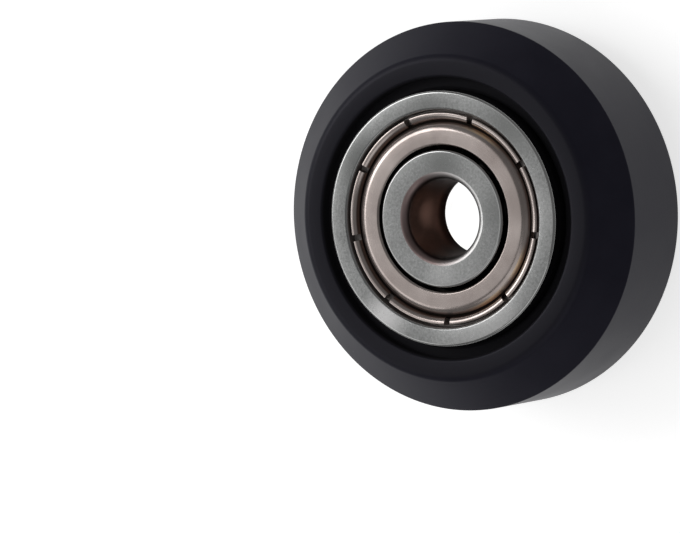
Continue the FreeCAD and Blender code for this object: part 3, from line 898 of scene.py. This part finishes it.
class VEEWHEEL_OT_shields(bpy.types.Operator):
    """Models the four pressed shields with their curled, notched edges"""

    bl_idname = "vee_wheel.shields"
    bl_label = "Shields"

    def execute(self, context):
        sizes = context.scene.vee_wheel_shield
        steel = pressed_steel(sizes)
        for name, side in SIDES:
            for place, facing in (("outer", side), ("inner", -side)):
                bm = self.pressing(sizes)
                lift(bm, side, facing)
                finish_piece(
                    f"{name}_{place}_pressed_shield", bm, steel, "wheel", f"{name}_{place}_shield",
                )
        return {"FINISHED"}

    def pressing(self, sizes):
        """One shield round the origin: a dish all the way round, and a curled edge between the notches."""
        sheet = sizes.sheet
        curl_r = SHIELD_R - sizes.curl
        slope_r = curl_r - sizes.slope
        floor_r = slope_r - sizes.floor
        crest_r = floor_r - sizes.riser
        inner_r = INNER_SHOULDER_R + sizes.gap
        valley = SHIELD_TOP - sizes.valley
        root_r = slope_r + sheet / 8
        rise = sizes.valley / sizes.slope
        under_rise = sizes.valley / (SHIELD_R - sheet - (slope_r + sheet / 2))
        bend, under, rim = sizes.bend, sizes.under_rounding, sizes.rim_rounding
        root = (root_r, valley + (root_r - slope_r) * rise, 0)
        under_root = (slope_r + 0.75 * sheet, valley - sheet + 0.25 * sheet * under_rise, 0)
        corners = [
            root,
            (slope_r, valley, 0),
            (floor_r, valley, sizes.foot_rounding),
            (crest_r, SHIELD_TOP, sizes.crest_rounding),
            (inner_r + bend, SHIELD_TOP, bend),
            (inner_r, SHIELD_TOP - bend, rim),
            (inner_r, SHIELD_TOP - bend - sheet, rim),
            (inner_r + bend, SHIELD_TOP - sheet, under),
            (crest_r - sheet / 2, SHIELD_TOP - sheet, under),
            (floor_r - sheet / 2, valley - sheet, under),
            (slope_r + sheet / 2, valley - sheet, under),
            under_root,
            (SHIELD_R - sheet, SHIELD_TOP - sheet, under),
            (SHIELD_R - sheet, SHIELD_LEDGE, rim),
            (SHIELD_R, SHIELD_LEDGE, rim),
            (SHIELD_R, SHIELD_TOP, sizes.edge_rounding),
            (curl_r, SHIELD_TOP, sizes.crown_rounding),
        ]
        bm = bmesh.new()
        verts = draw_outline(bm, corners)
        round_corners(bm, verts, corners)
        roots = [verts[corners.index(corner)].co.copy() for corner in (root, under_root)]
        notch_angle = sizes.notch_width / SHIELD_R
        pitch = math.tau / sizes.notch_count
        lip_end = sweep(bm, bm.verts[:] + bm.edges[:], pitch - notch_angle, steps=28)
        self.sweep_dish(bm, lip_end, roots, notch_angle)
        sector = bm.verts[:] + bm.edges[:] + bm.faces[:]
        sweep(bm, sector, math.tau - pitch, sizes.notch_count - 1, copies=True)
        merge_doubles(bm)
        open_edges = [edge for edge in bm.edges if len(edge.link_faces) == 1]
        bmesh.ops.holes_fill(bm, edges=open_edges, sides=0)
        turn(bm, sizes.notch_phase + notch_angle / 2, "Z")
        return bm

    def sweep_dish(self, bm, lip_end, roots, notch_angle):
        """Carries only the dish on across a notch, with a wall where the curled edge is cut away."""
        verts = [item for item in lip_end if isinstance(item, bmesh.types.BMVert)]
        wall = [
            min(verts, key=lambda v: abs(v.co.xy.length - point.x) + abs(v.co.z - point.z))
            for point in roots
        ]
        bm.edges.new(wall)
        dish = [
            item for item in lip_end
            if isinstance(item, bmesh.types.BMEdge) and self.in_dish(item, roots)
        ]
        dish.append(bm.edges.get(wall))
        corners = {vert for edge in dish for vert in edge.verts}
        sweep(bm, list(corners) + dish, notch_angle, steps=2)

    def in_dish(self, edge, roots):
        """True for an edge inside the line between the two root points."""
        (top_r, top), (under_r, under) = ((point.x, point.z) for point in roots)
        middle = (edge.verts[0].co + edge.verts[1].co) / 2
        along = (middle.z - under) / (top - under)
        return middle.xy.length < under_r + (top_r - under_r) * along


class VEEWHEEL_OT_spacer(bpy.types.Operator):
    """Models the spacer shim between the inner rings"""

    bl_idname = "vee_wheel.spacer"
    bl_label = "Spacer"

    def execute(self, context):
        sizes = context.scene.vee_wheel_bearing
        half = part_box("spacer_shim")[1].z
        corners = mirrored([(BORE_R, half, sizes.shim_corner), (SHIM_R, half, sizes.shim_corner)])
        bm = turned_piece(corners, steps=144, corner_steps=3)
        steel = plain_steel("Shim Steel", sizes.shim_colour, sizes.shim_roughness, mottle_scale=1800.0)
        finish_piece("spacer_washer", bm, steel, "inner_rings", "spacer_shim")
        return {"FINISHED"}


class VEEWHEEL_OT_cages_and_balls(bpy.types.Operator):
    """Finishes the CAD model's cages and balls"""

    bl_idname = "vee_wheel.cages_and_balls"
    bl_label = "Cages and Balls"

    def execute(self, context):
        sizes = context.scene.vee_wheel_bearing
        # Very dark steel for the cages and balls: grease and painted shade deep inside the bearing.
        cage = plain_steel("Cage Steel", sizes.cage_grease_and_shade_colour, sizes.cage_roughness, mottle_scale=2200.0)
        ball = plain_steel("Ball Steel", sizes.ball_grease_and_shade_colour, sizes.ball_roughness, mottle_scale=900.0)
        for name, node in frame["nodes"].items():
            finish = cage if "_cage_" in name else ball if "_ball_" in name else None
            if finish:
                for slot in node.material_slots:
                    slot.material = finish
        return {"FINISHED"}


class VEEWHEEL_OT_stage(bpy.types.Operator):
    """Sets the white floor, the soft lamps, the room light and the camera"""

    bl_idname = "vee_wheel.stage"
    bl_label = "Stage"

    def execute(self, context):
        stage = context.scene.vee_wheel_stage
        self.floor(stage)
        self.room(context, stage)
        for name, ends in LAMPS.items():
            depth = getattr(stage, f"{name}_depth")
            radiance = getattr(stage, f"{name}_radiance")
            self.lamp(context, f"{name}_softbox", ends, stage.lamp_reach, depth, radiance)
        self.camera(context, stage)
        context.scene.view_settings.view_transform = "Standard"
        return {"FINISHED"}

    def floor(self, stage):
        """A matt white floor that also glows white to the camera and in reflections."""
        bm = bmesh.new()
        bmesh.ops.create_grid(bm, x_segments=1, y_segments=1, size=stage.floor_size / 2)
        bmesh.ops.translate(bm, verts=bm.verts[:], vec=AXLE * CAD_BOX[0][2])
        material, tree, shader = new_material("White Floor")
        rays = add(tree, "ShaderNodeLightPath").outputs
        seen = combine(tree, "MULTIPLY", rays["Is Camera Ray"], stage.floor_seen)
        under_bore = use_group(
            tree, "Ring Band", Inner_Radius=-BORE_R, Outer_Radius=BORE_R + MM, Softness=0.5 * MM,
        )
        plain, most = stage.floor_mirrored, stage.floor_mirrored + stage.bore_glow
        brightness = rescale(tree, under_bore.outputs["Mask"], 0.0, 1.0, plain, most)
        mirroring = combine(tree, "MAXIMUM", rays["Is Glossy Ray"], rays["Is Transmission Ray"])
        mirrored_glow = combine(tree, "MULTIPLY", mirroring, brightness)
        feed_all(tree, shader, {
            "Base Color": stage.floor_colour,
            "Roughness": stage.floor_roughness,
            "Emission Color": combine(tree, "ADD", seen, mirrored_glow),
            "Emission Strength": 1.0,
        })
        floor = new_object("floor", bm, material)

    def room(self, context, stage):
        """Even grey light from all round, white where the camera sees it directly."""
        world = bpy.data.worlds.new("Room")
        world.use_nodes = True
        tree = world.node_tree
        rays = add(tree, "ShaderNodeLightPath")
        glow = rescale(tree, rays.outputs["Is Camera Ray"], 0.0, 1.0, stage.room_light, 1.0)
        feed_all(tree, tree.nodes["Background"], {"Color": WHITE, "Strength": glow})
        context.scene.world = world

    def lamp(self, context, name, ends, reach, depth, radiance):
        """A soft lamp that faces the wheel, long from one direction to another."""
        start, end = (Vector(direction).normalized() * reach for direction in ends)
        light = bpy.data.lights.new(name, "AREA")
        light.shape = "RECTANGLE"
        light.size = (end - start).length
        light.size_y = depth
        light.energy = radiance * math.pi * light.size * light.size_y
        facing = ((start + end) / 2).normalized()
        along = (end - start).normalized()
        turned = Matrix((along, facing.cross(along), facing)).transposed()
        lamp = bpy.data.objects.new(name, light)
        lamp.matrix_world = Matrix.Translation(facing * reach) @ turned.to_4x4()
        context.scene.collection.objects.link(lamp)

    def camera(self, context, stage):
        """The camera, placed so that the wheel's centre falls on its pixel of the picture."""
        aside = (WHEEL_PIXEL[0] - PICTURE_WIDTH / 2) / PIXELS_PER_METRE
        up = (PICTURE_HEIGHT / 2 - WHEEL_PIXEL[1]) / PIXELS_PER_METRE
        data = bpy.data.cameras.new("camera")
        data.sensor_width = 36.0
        data.lens = data.sensor_width * PIXELS_PER_METRE * stage.distance / PICTURE_WIDTH
        data.clip_start = 10 * MM
        camera = bpy.data.objects.new("camera", data)
        tilt = Matrix.Rotation(math.pi / 2 - stage.elevation, 4, "X")
        aim = tilt @ Matrix.Rotation(stage.roll, 4, "Z")
        camera.matrix_world = Matrix.Translation(aim @ -Vector((aside, up, -stage.distance))) @ aim
        context.scene.collection.objects.link(camera)
        context.scene.camera = camera


OPERATORS = (
    VEEWHEEL_OT_wheel,
    VEEWHEEL_OT_outer_rings,
    VEEWHEEL_OT_inner_rings,
    VEEWHEEL_OT_shields,
    VEEWHEEL_OT_spacer,
    VEEWHEEL_OT_cages_and_balls,
    VEEWHEEL_OT_stage,
)

PROPERTY_GROUPS = {
    "vee_wheel": VEEWHEEL_PG_wheel,
    "vee_wheel_bearing": VEEWHEEL_PG_bearing,
    "vee_wheel_shield": VEEWHEEL_PG_shield,
    "vee_wheel_stage": VEEWHEEL_PG_stage,
}


class VEEWHEEL_PT_pieces(bpy.types.Panel):
    """Lists the pieces of the wheel"""

    bl_idname = "VEEWHEEL_PT_pieces"
    bl_label = "V Groove Wheel"
    bl_space_type = "VIEW_3D"
    bl_region_type = "UI"
    bl_category = "V Wheel"

    def draw(self, context):
        for operator in OPERATORS:
            self.layout.operator(operator.bl_idname)


def register():
    for name, group in PROPERTY_GROUPS.items():
        bpy.utils.register_class(group)
        setattr(bpy.types.Scene, name, PointerProperty(type=group))
    for operator in OPERATORS:
        bpy.utils.register_class(operator)
    bpy.utils.register_class(VEEWHEEL_PT_pieces)


def unregister():
    bpy.utils.unregister_class(VEEWHEEL_PT_pieces)
    for operator in reversed(OPERATORS):
        bpy.utils.unregister_class(operator)
    for name, group in PROPERTY_GROUPS.items():
        delattr(bpy.types.Scene, name)
        bpy.utils.unregister_class(group)


def main():
    register()
    bpy.ops.vee_wheel.wheel()
    bpy.ops.vee_wheel.outer_rings()
    bpy.ops.vee_wheel.inner_rings()
    bpy.ops.vee_wheel.shields()
    bpy.ops.vee_wheel.spacer()
    bpy.ops.vee_wheel.cages_and_balls()
    bpy.ops.vee_wheel.stage()


if __name__ == "__main__":
    main()
